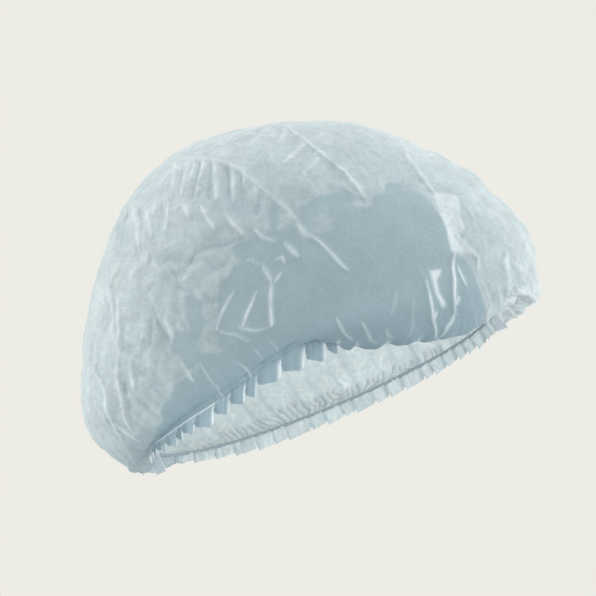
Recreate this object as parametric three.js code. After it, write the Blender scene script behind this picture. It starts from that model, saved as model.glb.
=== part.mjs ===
// Disposable hair cover cap of thin nonwoven cloth, in the full shape that it has when worn.
// Sizes are in millimetres. +Z is up, the front of the cap is at -Y and the wearer's left is at +X.
// The rim is drawn level round the origin, then tipped so that its front edge is raised.
import * as THREE from 'three';

const { degToRad, smoothstep } = THREE.MathUtils;

// Driving sizes
const WALL = 1; // thickness of the cloth
const SEAM_GAP = 0.3; // space between neighbouring pieces
const RIM_TILT = degToRad(22); // slope of the rim from the nape up to the forehead
const RIM = { front: 98, back: 98, side: 80.5 }; // half axes of the oval elastic line
const ELASTIC_RADIUS = 0.9;
const ELASTIC_SIDES = 8;
const ELASTIC_STEPS = 40;
const NECK_HEIGHT = ELASTIC_RADIUS + SEAM_GAP; // crown and frill start this far from the elastic line

// Gathers: the cloth is drawn into pleats along the elastic, sharp outside and round inside.
const PLEATS = 60;
const PLEAT_SWING = 0.35; // how much the pleats differ in depth
const COLUMNS_PER_PLEAT = 2;
const GATHER_COLUMNS = PLEATS * COLUMNS_PER_PLEAT;
const DOME_COLUMNS = GATHER_COLUMNS / 2;

// Crown sections from the elastic up: height above the rim, reach to the front, back and sides,
// and how far the overhanging front and back hang down below that height.
const CROWN_SECTIONS = [
  { name: 'neck', height: NECK_HEIGHT, front: 98, back: 98, side: 80.5, droop: 0 },
  { name: 'shoulder', height: 4.6, front: 120, back: 110, side: 86, droop: 9.5 },
  { name: 'lower pouch', height: 19.7, front: 126, back: 122, side: 90.5, droop: 8 },
  { name: 'widest', height: 39.4, front: 129, back: 125, side: 93.5, droop: 8 },
  { name: 'upper pouch', height: 62.5, front: 119, back: 113, side: 92.5, droop: 0 },
  { name: 'turn', height: 85.7, front: 103.5, back: 100.5, side: 87, droop: 0 },
  { name: 'dome', height: 106.5, front: 86.5, back: 86, side: 77, droop: 0 },
  { name: 'high dome', height: 125, front: 61, back: 69, side: 60, droop: 0 },
  { name: 'cap of dome', height: 139, front: 22.5, back: 48, side: 37, droop: 0 },
  { name: 'apex', height: 146, front: -20, back: 20, side: 0, droop: 0 },
];
const SECTION_COLUMNS = ['height', 'front', 'back', 'side', 'droop'];
const APEX_LEVEL = CROWN_SECTIONS.length - 1;

// Depth of the pleats at each crown level, nipped in at the elastic and dying out up the side.
const CROWN_GATHERS = [
  { level: 0, depth: 0.6 },
  { level: 0.5, depth: 1.8 },
  { level: 1, depth: 2 },
  { level: 2, depth: 1.2 },
  { level: 3.3, depth: 0 },
];

// Rings of the crown from the elastic up, fine where the cloth is gathered.
const CROWN_RINGS = [
  { columns: GATHER_COLUMNS, levels: [0, 0.3, 0.65, 1, 1.5, 2, 2.5, 3, 3.5, 4] },
  { columns: DOME_COLUMNS, levels: [4.5, 5, 5.6, 6.2, 6.8, 7.4, 8, 8.5] },
];

// Main soft folds of the crown: angle round from the front in degrees, crown level, width, rise.
const CROWN_FOLDS = [
  { name: 'nape spine', angle: [217, 258], level: [6.6, 5.4], width: 7, rise: 3.2 },
  { name: 'nape spine end', angle: [258, 275], level: [5.4, 3.4], width: 6, rise: 2.6 },
  { name: 'crown ridge', angle: [298, 297], level: [6.6, 3.9], width: 7, rise: 3 },
  { name: 'long crease', angle: [275, 285], level: [5.2, 2.5], width: 6, rise: 2.4 },
  { name: 'temple fold', angle: [333, 315], level: [5.3, 3.2], width: 8, rise: 3.4 },
  { name: 'temple fold end', angle: [315, 314], level: [3.2, 1.2], width: 7, rise: 2.8 },
  { name: 'ear crease', angle: [268, 264], level: [2.9, 1.8], width: 5, rise: 2.2 },
  { name: 'nape fold', angle: [220, 206], level: [4.3, 2.3], width: 8, rise: 3 },
  { name: 'nape fold below', angle: [230, 212], level: [4, 1.7], width: 8, rise: -2.6 },
  { name: 'far temple fold', angle: [40, 52], level: [5.2, 2.2], width: 9, rise: 2.6 },
  { name: 'far side fold', angle: [95, 82], level: [5, 2.4], width: 9, rise: 2.4 },
  { name: 'far nape fold', angle: [140, 152], level: [4.6, 2], width: 9, rise: 2.6 },
];
const DEGREE_LENGTH = 1.75; // length of one degree round the widest part
const LEVEL_LENGTH = 21; // usual length of the cloth between two crown sections

// Fans of folds that spread over the overhang from each end weld.
const FAN_FOLDS = 11;
const FAN_RISE = 1.3;
const FAN_NEAR = 8;
const FAN_FAR = 75;
const LOOSE_LEVEL = 0.6; // the elastic holds the cloth flat below this crown level

// On the wearer's right the rim edge rides up over the ear and hangs lower at the temple.
const RIM_WAVES = [
  { name: 'ear arch', angle: 270, rise: 7, spread: 18 },
  { name: 'temple dip', angle: 312, rise: -7.3, spread: 15 },
];
const RIM_WAVE_FADE_LEVEL = 2.2; // the crown above this level doesn't follow the rim

// Frill below the elastic: drop from the elastic line, flare outward, depth of its pleats,
// and how far the ridges between its lobes draw up.
const FRILL_ROWS = [
  { name: 'neck', drop: NECK_HEIGHT, flare: 0, depth: 0.6, lift: 0 },
  { name: 'middle', drop: 5, flare: 1, depth: 1.9, lift: 0.7 },
  { name: 'free edge', drop: 9.6, flare: 2, depth: 3, lift: 2.2 },
];

// End welds: a thin pressed tab at the front and at the back, outlined along and below the rim.
const WELD_THICKNESS = 1.6;
const WELD_OUTLINE = [
  { along: -2, below: -0.6 },
  { along: 0.6, below: -0.6 },
  { along: 3, below: 11 },
  { along: -2.6, below: 11 },
];
const ELASTIC_START = Math.asin((WELD_THICKNESS / 2 + SEAM_GAP) / RIM.side);
const FRILL_START = Math.asin((WELD_THICKNESS / 2 + SEAM_GAP + WALL / 2) / RIM.side);

const CLOTH = { color: 0xbccfd6, roughness: 0.85 };
const WELDED_CLOTH = { color: 0xa5bcc5, roughness: 0.6 };
const ELASTIC = { color: 0xdbe3e6, roughness: 0.7 };

// Repeatable unevenness between -1 and 1 for a numbered pleat.
function uneven(index) {
  const wave = Math.sin(index * 12.9898 + 4.1) * 43758.5453;
  return 2 * (wave - Math.floor(wave)) - 1;
}

// Value of a column of a table whose rows are ordered by key, straight between the rows.
function lookUp(rows, key, column, at) {
  const next = rows.findIndex((row) => row[key] >= at);
  if (next === 0) return rows[0][column];
  if (next < 0) return rows[rows.length - 1][column];
  const before = rows[next - 1];
  const after = rows[next];
  const share = (at - before[key]) / (after[key] - before[key]);
  return before[column] + share * (after[column] - before[column]);
}

// Smooth curve through four values, between the second and the third.
function curveThrough(a, b, c, d, share) {
  const slope = c - a;
  const bend = 2 * a - 5 * b + 4 * c - d;
  const twist = 3 * b - a - 3 * c + d;
  return 0.5 * (2 * b + slope * share + bend * share ** 2 + twist * share ** 3);
}

// The row past either end of the crown table: straight on at the rim, over the top at the apex.
function sectionRow(index) {
  if (index >= 0 && index <= APEX_LEVEL) return CROWN_SECTIONS[index];
  if (index > APEX_LEVEL) {
    const inner = CROWN_SECTIONS[APEX_LEVEL - 1];
    return { ...inner, front: -inner.back, back: -inner.front, side: -inner.side };
  }
  const [end, inner] = CROWN_SECTIONS;
  const straightOn = {};
  for (const column of SECTION_COLUMNS) straightOn[column] = 2 * end[column] - inner[column];
  return straightOn;
}

function sectionAt(level) {
  const start = Math.min(Math.floor(level), APEX_LEVEL - 1);
  const rows = [start - 1, start, start + 1, start + 2].map(sectionRow);
  const section = {};
  for (const column of SECTION_COLUMNS) {
    section[column] = curveThrough(...rows.map((row) => row[column]), level - start);
  }
  return section;
}

function rimLift(angle) {
  let lift = 0;
  for (const wave of RIM_WAVES) {
    const away = (THREE.MathUtils.radToDeg(angle) - wave.angle) / wave.spread;
    lift += wave.rise * Math.exp(-away * away);
  }
  return lift;
}

// Pleats round the rim: ridges at whole numbers of pleats, valleys between them.
function pleat(angle) {
  const turn = (angle / (2 * Math.PI)) * PLEATS;
  const depth = 1 + PLEAT_SWING * uneven(Math.floor(turn + 1e-6));
  return -Math.abs(Math.sin(Math.PI * turn)) * depth;
}

function foldRelief(angle, level) {
  const degrees = THREE.MathUtils.radToDeg(angle);
  const spot = new THREE.Vector2(degrees * DEGREE_LENGTH, level * LEVEL_LENGTH);
  let relief = 0;
  for (const fold of CROWN_FOLDS) {
    const start = new THREE.Vector2(fold.angle[0] * DEGREE_LENGTH, fold.level[0] * LEVEL_LENGTH);
    const end = new THREE.Vector2(fold.angle[1] * DEGREE_LENGTH, fold.level[1] * LEVEL_LENGTH);
    const run = end.clone().sub(start);
    const share = THREE.MathUtils.clamp(spot.clone().sub(start).dot(run) / run.lengthSq(), 0, 1);
    const away = spot.distanceTo(start.addScaledVector(run, share)) / fold.width;
    relief += fold.rise * Math.exp(-away * away);
  }
  return relief;
}

function fanRelief(angle, level) {
  const fromEnd = Math.atan2(Math.sin(2 * angle), Math.cos(2 * angle)) / 2;
  const sideways = THREE.MathUtils.radToDeg(fromEnd) * DEGREE_LENGTH;
  const upward = level * LEVEL_LENGTH;
  const distance = Math.hypot(sideways, upward);
  const strength = smoothstep(distance, 0, FAN_NEAR) * (1 - smoothstep(distance, FAN_NEAR, FAN_FAR));
  return FAN_RISE * strength * Math.cos(2 * FAN_FOLDS * Math.atan2(upward, sideways));
}

// The crown without its relief.
function smoothCrown(angle, level) {
  const section = sectionAt(level);
  const middle = (section.back - section.front) / 2;
  const reach = (section.back + section.front) / 2;
  const lift = rimLift(angle) * (1 - smoothstep(level, 0, RIM_WAVE_FADE_LEVEL));
  return new THREE.Vector3(
    section.side * Math.sin(angle),
    middle - reach * Math.cos(angle),
    section.height - section.droop * Math.cos(angle) ** 2 + lift,
  );
}

function crownPoint(angle, level) {
  const step = 0.01;
  const round = smoothCrown(angle + step, level).sub(smoothCrown(angle - step, level));
  const up = smoothCrown(angle, level + step).sub(smoothCrown(angle, Math.max(level - step, 0)));
  const outward = round.cross(up).normalize();
  const gather = pleat(angle) * lookUp(CROWN_GATHERS, 'level', 'depth', level);
  const loose = smoothstep(level, 0, LOOSE_LEVEL);
  const relief = gather + loose * (foldRelief(angle, level) + fanRelief(angle, level));
  return smoothCrown(angle, level).addScaledVector(outward, relief);
}

function rimPoint(angle, outward, below) {
  const middle = (RIM.back - RIM.front) / 2;
  const reach = (RIM.back + RIM.front) / 2;
  return new THREE.Vector3(
    (RIM.side + outward) * Math.sin(angle),
    middle - (reach + outward) * Math.cos(angle),
    rimLift(angle) - below,
  );
}

// Triangles between two rows of points; a row with half as many columns takes two below to one above.
function stitch(lower, upper, lowerColumns, upperColumns, closed) {
  const faces = [];
  const steps = closed ? upperColumns : upperColumns - 1;
  const ratio = closed ? lowerColumns / upperColumns : 1;
  for (let column = 0; column < steps; column += 1) {
    const top = upper + column;
    const topNext = upper + ((column + 1) % upperColumns);
    for (let part = 0; part < ratio; part += 1) {
      const low = lower + column * ratio + part;
      const lowNext = lower + ((column * ratio + part + 1) % lowerColumns);
      faces.push([low, lowNext, part === 0 ? top : topNext]);
    }
    faces.push([top, lower + ((column * ratio + 1) % lowerColumns), topNext]);
  }
  return faces;
}

// A closed solid from an outer skin: the skin, its copy one wall inside, and the edges between them.
function thickWall(points, faces) {
  const skin = new THREE.BufferGeometry().setFromPoints(points);
  skin.setIndex(faces.flat());
  skin.computeVertexNormals();
  const normals = skin.getAttribute('normal');
  const inner = points.map((point, index) => {
    const inward = new THREE.Vector3().fromBufferAttribute(normals, index);
    return point.clone().addScaledVector(inward, -WALL);
  });
  const count = points.length;
  const triangles = [];
  const edges = new Map();
  for (const [a, b, c] of faces) {
    triangles.push(a, b, c, a + count, c + count, b + count);
    for (const [from, to] of [[a, b], [b, c], [c, a]]) edges.set(`${from} ${to}`, [from, to]);
  }
  for (const [from, to] of edges.values()) {
    if (edges.has(`${to} ${from}`)) continue;
    triangles.push(to, from, from + count, to, from + count, to + count);
  }
  const solid = new THREE.BufferGeometry().setFromPoints([...points, ...inner]);
  solid.setIndex(triangles);
  solid.computeVertexNormals();
  return solid;
}

function makeCrown() {
  const points = [];
  const faces = [];
  let below = null;
  for (const { columns, levels } of CROWN_RINGS) {
    for (const level of levels) {
      const ring = { start: points.length, columns };
      for (let column = 0; column < columns; column += 1) {
        points.push(crownPoint((2 * Math.PI * column) / columns, level));
      }
      if (below) faces.push(...stitch(below.start, ring.start, below.columns, columns, true));
      below = ring;
    }
  }
  const apex = points.push(smoothCrown(0, APEX_LEVEL)) - 1;
  for (let column = 0; column < below.columns; column += 1) {
    faces.push([below.start + column, below.start + ((column + 1) % below.columns), apex]);
  }
  return thickWall(points, faces);
}

// One side of the frill, from the front weld round to the back weld.
function makeFrill(side) {
  const columns = GATHER_COLUMNS / 2 + 1;
  const span = Math.PI - 2 * FRILL_START;
  const points = [];
  const faces = [];
  const rows = [...FRILL_ROWS].reverse();
  rows.forEach((row, index) => {
    for (let column = 0; column < columns; column += 1) {
      const along = (Math.PI * column) / (columns - 1);
      const angle = side.from + FRILL_START + (span * column) / (columns - 1);
      const fold = pleat(side.from + along);
      const ridge = 1 - Math.min(-fold, 1);
      points.push(rimPoint(angle, row.flare + row.depth * fold, row.drop - row.lift * ridge));
    }
    if (index > 0) faces.push(...stitch((index - 1) * columns, index * columns, columns, columns, false));
  });
  return thickWall(points, faces);
}

// One elastic thread, in the middle of the cloth between the crown and the frill.
function makeElastic(side) {
  const span = Math.PI - 2 * ELASTIC_START;
  const path = [];
  for (let step = 0; step <= ELASTIC_STEPS; step += 1) {
    path.push(rimPoint(side.from + ELASTIC_START + (span * step) / ELASTIC_STEPS, -WALL / 2, 0));
  }
  const section = new THREE.Shape();
  for (let corner = 0; corner < ELASTIC_SIDES; corner += 1) {
    const turn = (2 * Math.PI * corner) / ELASTIC_SIDES;
    const [x, y] = [ELASTIC_RADIUS * Math.cos(turn), ELASTIC_RADIUS * Math.sin(turn)];
    if (corner === 0) section.moveTo(x, y);
    else section.lineTo(x, y);
  }
  return new THREE.ExtrudeGeometry(section, {
    steps: ELASTIC_STEPS,
    bevelEnabled: false,
    extrudePath: new THREE.CatmullRomCurve3(path),
  });
}

// One end weld, a plate in the middle plane of the cap just outside the rim.
function makeWeld(end) {
  const reach = end.direction < 0 ? RIM.front : RIM.back;
  const outline = WELD_OUTLINE.map((corner) => {
    return new THREE.Vector2(end.direction * (reach + corner.along), -corner.below);
  });
  const plate = new THREE.ExtrudeGeometry(new THREE.Shape(outline), {
    depth: WELD_THICKNESS,
    bevelEnabled: false,
  });
  plate.translate(0, 0, -WELD_THICKNESS / 2);
  const alongRim = new THREE.Vector3(0, 1, 0);
  const upright = new THREE.Vector3(0, 0, 1);
  const across = new THREE.Vector3(1, 0, 0);
  return plate.applyMatrix4(new THREE.Matrix4().makeBasis(alongRim, upright, across));
}

const SIDES = [
  { name: 'left', from: 0 },
  { name: 'right', from: Math.PI },
];
const ENDS = [
  { name: 'front', direction: -1 },
  { name: 'back', direction: 1 },
];

const cap = new THREE.Group();
cap.name = 'hair_cover_cap';

function addPiece(name, geometry, look) {
  geometry.rotateX(-RIM_TILT);
  const piece = new THREE.Mesh(geometry, new THREE.MeshStandardMaterial(look));
  piece.name = name;
  cap.add(piece);
}

addPiece('crown', makeCrown(), CLOTH);
for (const side of SIDES) {
  addPiece(`frill_${side.name}`, makeFrill(side), CLOTH);
  addPiece(`elastic_${side.name}`, makeElastic(side), ELASTIC);
}
for (const end of ENDS) {
  addPiece(`end_weld_${end.name}`, makeWeld(end), WELDED_CLOTH);
}

export default cap;
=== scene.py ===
# Dresses the disposable hair cover cap: crinkled nonwoven crown, gathered frills, elastic and end welds.
# Shapes are worked out in millimetres round a level rim, then tipped as worn and set in metres.
# Angles go round from the front in degrees: 90 is the wearer's left, 180 the back, 270 the wearer's right.
# Levels go up the crown: 0 is its neck at the elastic, and each whole number is a row of CROWN_SECTIONS.
import math

import bpy
import numpy as np
from mathutils import Matrix, Vector


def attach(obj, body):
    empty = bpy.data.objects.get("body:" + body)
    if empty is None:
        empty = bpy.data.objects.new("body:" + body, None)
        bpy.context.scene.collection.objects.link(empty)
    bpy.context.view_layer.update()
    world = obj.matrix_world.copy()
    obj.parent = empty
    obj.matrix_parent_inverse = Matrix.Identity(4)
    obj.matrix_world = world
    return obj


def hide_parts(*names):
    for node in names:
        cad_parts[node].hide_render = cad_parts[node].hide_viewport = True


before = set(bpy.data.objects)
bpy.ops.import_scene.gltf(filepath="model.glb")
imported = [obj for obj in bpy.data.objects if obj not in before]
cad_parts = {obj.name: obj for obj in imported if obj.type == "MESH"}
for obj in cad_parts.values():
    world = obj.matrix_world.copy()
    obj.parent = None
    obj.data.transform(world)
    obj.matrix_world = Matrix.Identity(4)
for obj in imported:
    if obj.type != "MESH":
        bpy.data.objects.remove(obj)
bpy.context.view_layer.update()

# Driving sizes in millimetres, with the rim and the sections of the part's source
MM = 0.001
RIM_TILT = math.radians(22)
RIM = {"front": 98, "back": 98, "side": 80.5}
NECK_HEIGHT = 1.2
CLOTH_OUTSIDE_ELASTIC = {"left": -0.5, "right": 1.5}
CLOTH_SIDE_CHANGE = 2.0  # how fast one side's value goes over to the other's near the welds
RIM_WAVES = (  # name, angle, rise, spread
    ("ear_arch", 270, 7, 18),
    ("temple_dip", 312, -7.3, 15),
)
SECTION_COLUMNS = ("height", "front", "back", "side", "droop")
CROWN_SECTIONS = (
    (NECK_HEIGHT, RIM["front"], RIM["back"], RIM["side"], 0),
    (4.6, 120, 110, 86, 9.5),
    (19.7, 126, 122, 90.5, 8),
    (39.4, 129, 125, 93.5, 8),
    (62.5, 119, 113, 92.5, 0),
    (85.7, 103.5, 100.5, 87, 0),
    (106.5, 86.5, 86, 77, 0),
    (125, 61, 69, 60, 0),
    (139, 22.5, 48, 37, 0),
    (146, -20, 20, 0, 0),
)
APEX_LEVEL = len(CROWN_SECTIONS) - 1
DEGREE_LENGTH = 1.75  # length of one degree round the widest part
LEVEL_LENGTH = 21.0  # usual length of the cloth between two crown sections
FIRST_DEGREE = 120.0  # tables of angles run from here to 480, so that they can pass over the front

# Cloth grid: runs of angles and of crown levels, each with its steps
CROWN_ANGLE_RUNS = ((0, 180, 225), (180, 235, 105), (235, 325, 255), (325, 360, 55))
CROWN_LEVEL_RUNS = ((0, 1, 24), (1, 2, 22), (2, 4.5, 56), (4.5, 7, 34), (7, 8.97, 14))
FRILL_STEPS_ROUND = 900
FRILL_STEPS_DOWN = 22
FRILL_END_GAP = 0.022  # radians between a frill's end and the middle of the weld

# Bands of crown levels in which something comes in or fades away: from, to
LEVEL_BANDS = {
    "neck": (0, 0.4), "held": (0, 0.5), "loose": (0.05, 0.8), "apex": (8.2, 9), "rim_waves": (0, 2.2),
    "fine_gathers": (0.25, 1.1), "taut_gathers": (0.3, 0.9), "hem_slip": (0, 1.2), "hem_lean": (0, 2),
    "hem_sag": (0, 0.45), "hem_sag_end": (0.5, 2), "hem_shade": (0.3, 2.4), "scallop_tips": (0.5, 0.9),
    "ruffles": (1.3, 1.5), "far_grooves": (1.8, 3.5),
}

# Gathers along the elastic: each pleat dips sharply at its start and comes back up slowly
PLEATS = 60
PLEAT_JITTER = 0.32
PLEAT_DIP = 0.2  # share of the pleat in which it dips
PLEAT_RETURN = 0.8  # power of the curve back up
PLEAT_UNEVEN = {"depth": 0.4, "reach": 0.35}
CROWN_GATHERS = ((0, 0.6), (0.4, 1.4), (0.9, 1.3), (1.6, 0.5), (2.3, 0))  # level, depth
FINE_GATHERS = 3
FINE_GATHER_DEPTH = 0.4
FINE_GATHER_SHIFT = 0.6

# Seeds of the numbers that are drawn for each pleat
PLEAT_SEEDS = {
    "edges": 1, "depth": 2, "fine_gathers": 3, "fine_shift": 4, "reach": 5, "length": 6,
    "groove_shade": 7, "ruffle": 8,
}

# Frills: lobes as wide as the pleats, each longer at its end than at its start, with a slit between two
FRILL_DROP = 9.4
FRILL_LENGTHS = (  # angle, share of the drop
    (120, 0.83), (140, 0.65), (160, 0.42), (180, 0.4), (195, 0.65), (215, 0.75), (240, 0.85),
    (275, 0.97), (281, 0.9), (286, 0.5), (350, 0.4), (357, 0.7), (365, 0.87), (480, 0.83),
)
FRILL_DEPTHS = ((0, 0.6), (0.5, 1.4), (1, 2.2))  # share of the drop, depth
FRILL_FLARE = 2.0
FRILL_UNEVEN = 0.08
FRILL_FINE_FADE = 0.4  # share of the fine gathers that is gone at the free edge
FRILL_WANDER = {"size": 7, "seeds": (31, 32), "reach": 0.4}
# For each side's lobes: step in length from start to end, share and lift of the slit, rounding of the end,
# lean toward the next lobe, painted shade in the folds and painted shade over the whole
FRILL_LOBES = {
    "left": {"step": 0.12, "slit": 0.1, "lift": 0.2, "round": 0, "lean": 0, "dark": 0.7, "shade": 0.2},
    "right": {"step": 0.6, "slit": 0.08, "lift": 0.3, "round": 0.2, "lean": 0.3, "dark": 0, "shade": 0},
}
LOBE_SLIT_FLAT = 0.7  # share of the slit that is lifted in full
LOBE_ROUND_BAND = (0.8, 1)  # shares of the lobe
# Painted highlight along the slit at the end of each lobe
LOBE_EDGE_HIGHLIGHT = {"width": 0.13, "down": (0, 0.4)}
LOBE_FOLD_WIDTH = 0.9
# How much painted ruffle shade a frill gets, as a share of its folds' darkness
LOBE_RUFFLES = 0.4
# Painted highlight along the crease of the tight strand at the hem
STRAND_HIGHLIGHT = {"angles": (200, 210, 240, 244), "width": 0.7, "painted_light": 0.85}

# On the wearer's right the hem slips off the elastic, out and down, and sags at the temple: angle, amount
HEM_SPREAD = ((195, 0), (225, 2.5), (245, 5), (285, 5), (300, 2), (330, 1), (350, 0))
HEM_DROP = ((195, 0), (215, 2.5), (262, 3), (278, 2), (292, 0))
HEM_SAG = (
    (268, 0), (274, 5), (278, 12.5), (282, 15.8), (286, 16.6), (290, 16.8), (294, 16.6),
    (298, 15.8), (302, 14.6), (306, 13.2), (310, 12.2), (314, 10.6), (318, 9), (322, 7.4),
    (327, 4.5), (336, 2), (346, -1), (356, -0.5), (366, -2.4), (384, -2.4), (400, 0),
)
HEM_SAG_SPREAD = 0.25  # how far the sagging hem goes out, as a share of the sag
HEM_SCALLOPS = ((272, 0), (277, 3.6), (292, 3.2), (300, 1.2), (312, 0))
SCALLOP_POWER = 0.9
# Painted highlights on the pleat edges above the scallops
SCALLOP_TIP_HIGHLIGHT = {"painted_light": 0.25, "width": 0.6}
BACK_TIP = {"level": 0.75, "reach": 0.35, "pull": ((158, 0), (175, 4.5), (190, 4.5), (204, 0))}

# Folds of the crown: path of (angle, level) points, half width, rise, whitening as a painted highlight
# (below 0 darkens as painted shade)
EAR_CREASES = {
    "star_stem": (((268.5, 2.9), (267, 2.45), (264.5, 1.9)), 1.1, 0.9, 1),
    "star_left": (((268, 3.3), (268.5, 2.9)), 1.2, 0.8, 0.9),
    "star_right": (((271.5, 3), (269, 2.85)), 0.7, 0.5, 0.6),
    "ear_line": (((265, 2.85), (261, 2.5), (259, 2.25)), 0.8, 0.7, 0.85),
    "ear_line_back": (((260, 3.05), (256, 2.75), (253, 2.45)), 0.8, 0.6, 0.7),
    "ear_floor": (((258, 2.3), (261, 2), (264, 1.9)), 0.9, 0.6, 0.6),
    "ear_floor_low": (((253, 2.45), (256.5, 2.15), (258.5, 1.75)), 0.8, 0.5, 0.5),
    "small_peak": (((264.5, 3.55), (266, 3.6), (267, 3.45), (269, 3.3)), 0.6, 0.4, 0.4),
    "small_hook": (((271, 3.35), (272.5, 3.35), (273, 3.15)), 0.7, 0.4, 0.6),
}
SPINE_END = {
    "spine_tick": (((265, 4.4), (266, 4.1)), 0.8, 0.6, 0.7),
    "spine_tip": (((269, 4.1), (270, 3.9), (272, 3.7)), 0.9, 0.8, 0.8),
    "spine_tip_low": (((274, 3.6), (275, 3.4), (276, 3.2)), 1.2, 0.9, 1),
    "long_crease_top": (((275.5, 4.95), (278, 4.3), (279, 3.75)), 1.2, 0.9, 0.35),
    "long_crease_knot": (((278.5, 3.8), (280, 3.55)), 1.4, 0.7, 0.6),
    "long_crease": (((280, 3.6), (281.5, 3.4), (283, 3), (284, 2.7), (285, 2.55)), 0.75, 0.7, 0.8),
}
TEMPLE_CREASES = {
    "main": (((312.8, 2.34), (311.5, 2.1), (310, 1.7), (307, 1.36), (305.5, 1.18)), 0.8, 0.9, 1),
    "main_low": (((305.5, 1.18), (302.5, 0.96), (301.5, 0.7)), 0.8, 0.8, 0.9),
    "fork": (((309.2, 1.41), (306.8, 1.31)), 0.7, 0.5, 0.9),
    "back": (((302.5, 1.8), (300.8, 1.45), (299.2, 1.12), (299.5, 0.7)), 0.7, 0.8, 0.9),
    "cross": (((301.2, 1.28), (299, 1.1)), 0.6, 0.4, 0.8),
    "front": (((312.5, 1.96), (312.5, 1.56)), 0.7, 0.6, 0.8),
    "faint": (((294.5, 1.75), (289.8, 1.36)), 0.7, 0.3, 0.25),
    "faint_low": (((297, 1.5), (291.5, 0.84)), 0.8, 0.3, 0.25),
    "panel_edge": (((322, 3.55), (318, 3.2), (317.5, 2.9), (315, 2.73)), 0.8, 0.6, 0.6),
    "panel_edge_low": (((315, 2.73), (319.5, 2.1), (318.5, 1.85)), 0.8, 0.6, 0.6),
    "brow_edge": (((333.5, 5.5), (322, 4.75), (317, 4.1), (316, 3.7)), 1.2, 1, 0.35),
    "brow_upright": (((331.5, 2.15), (328, 1.5), (326.4, 1.18)), 1.8, 0.8, 0.45),
}
HEM_CREASES = (  # scallops of the hem, then pinches above the frill
    (((278.2, 1.5), (277.8, 1.15), (279.2, 0.93)), 0.7, 0.6, 0.8),
    (((282.8, 1.34), (283, 0.94), (284.5, 0.81)), 0.7, 0.6, 0.8),
    (((287, 1.07), (287.5, 0.9), (288.5, 0.81)), 0.7, 0.6, 0.8),
    (((244.2, 0), (244.5, 1.35), (245.8, 1.95)), 0.6, 0.4, 0.45),
    (((254.5, 0), (252.8, 1.43)), 0.6, 0.4, 0.5),
    (((257.2, 0.2), (258, 1.49)), 0.5, 0.4, 0.4),
    (((262, 0.2), (262.2, 1.64)), 0.5, 0.4, 0.35),
)
SPINE_RIBS = (  # the spine, then its ribs and the grooves between them
    (((250.5, 7.3), (266, 6.4), (272.5, 5.7), (275.5, 4.95)), 1.2, 1, 0.3),
    (((251, 7.1), (249, 6)), 1.32, 1, 0.42),
    (((253.5, 6.8), (251, 5.8)), 1.32, -0.8, -0.51),
    (((256.5, 6.7), (252.5, 5.75)), 1.32, 1, 0.48),
    (((260, 6.75), (256, 5.95)), 1.14, 1, 0.54),
    (((260.5, 6.5), (256, 5.5)), 1.32, -1, -0.87),
    (((263, 6.5), (258, 5.55)), 1.41, 1.2, 0.6),
    (((264.5, 6.2), (260.5, 5.25)), 1.41, -1, -0.8),
    (((267, 6.25), (263, 5.15)), 1.67, 1.2, 0.54),
    (((269, 5.8), (266, 5)), 1.5, -1, -0.8),
    (((271, 5.8), (267, 4.9)), 1.32, 1.1, 0.54),
    (((272, 5.45), (269, 4.8)), 1.23, -0.8, -0.72),
    (((274, 5.55), (271, 5.15)), 1.06, 0.9, 0.48),
    (((275, 5.2), (272, 4.7)), 1.06, 0.9, 0.42),
    (((273.5, 4.8), (271, 4.45)), 1.94, -0.9, -0.87),
    (((276, 4.65), (277.5, 4.2)), 1.76, -0.8, -0.72),
)
LOWER_RIBS = (  # ribs and grooves in a row below those
    (((217, 6.55), (216, 6.1), (219, 5.6)), 1.23, 0.9, 0.42),
    (((222, 6.35), (223, 5.7)), 1.58, -0.8, -0.43),
    (((227, 6.4), (232, 5.75), (234, 5.1)), 1.76, 1.3, 0.6),
    (((231, 6.2), (235, 5.5)), 1.23, -0.8, -0.43),
    (((235, 6.15), (238.5, 5.55), (240, 5.15)), 1.14, 1, 0.6),
    (((240, 6.05), (240.5, 5.65)), 0.97, 0.8, 0.54),
    (((243, 5.9), (242.5, 5.3)), 1.32, -0.8, -0.51),
    (((246.5, 5.8), (246, 5.4), (244.5, 5)), 1.23, 1, 0.6),
    (((252.5, 5.5), (254, 5.1)), 1.5, 1.1, 0.7),
    (((258, 5.15), (259, 4.8), (260, 4.5)), 1.14, 0.9, 0.66),
    (((264, 4.7), (265, 4.4), (266, 4.1)), 1.06, 0.9, 0.7),
)
TOP_RIDGE = (  # the ridge in two parts, then short ribs beside it
    (((298.5, 6.6), (297.1, 5.75), (297.1, 5.31), (297.1, 4.94)), 1.2, 1.2, 0.45),
    (((297.1, 5), (298.2, 4.72), (297.8, 4.5), (296.8, 3.96)), 1.1, 1, 0.45),
    (((297, 6.9), (280.5, 6.3)), 1.5, 0.9, 0.4),
    (((294, 7.1), (281, 6.7)), 1.3, 0.8, 0.35),
    (((300, 6.6), (289.5, 6.1)), 1.3, 0.9, 0.45),
    (((296.5, 5.82), (285.1, 5.46)), 1.1, 0.8, 0.5),
    (((295, 5.24), (287.6, 4.94)), 1, 0.7, 0.5),
)
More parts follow.
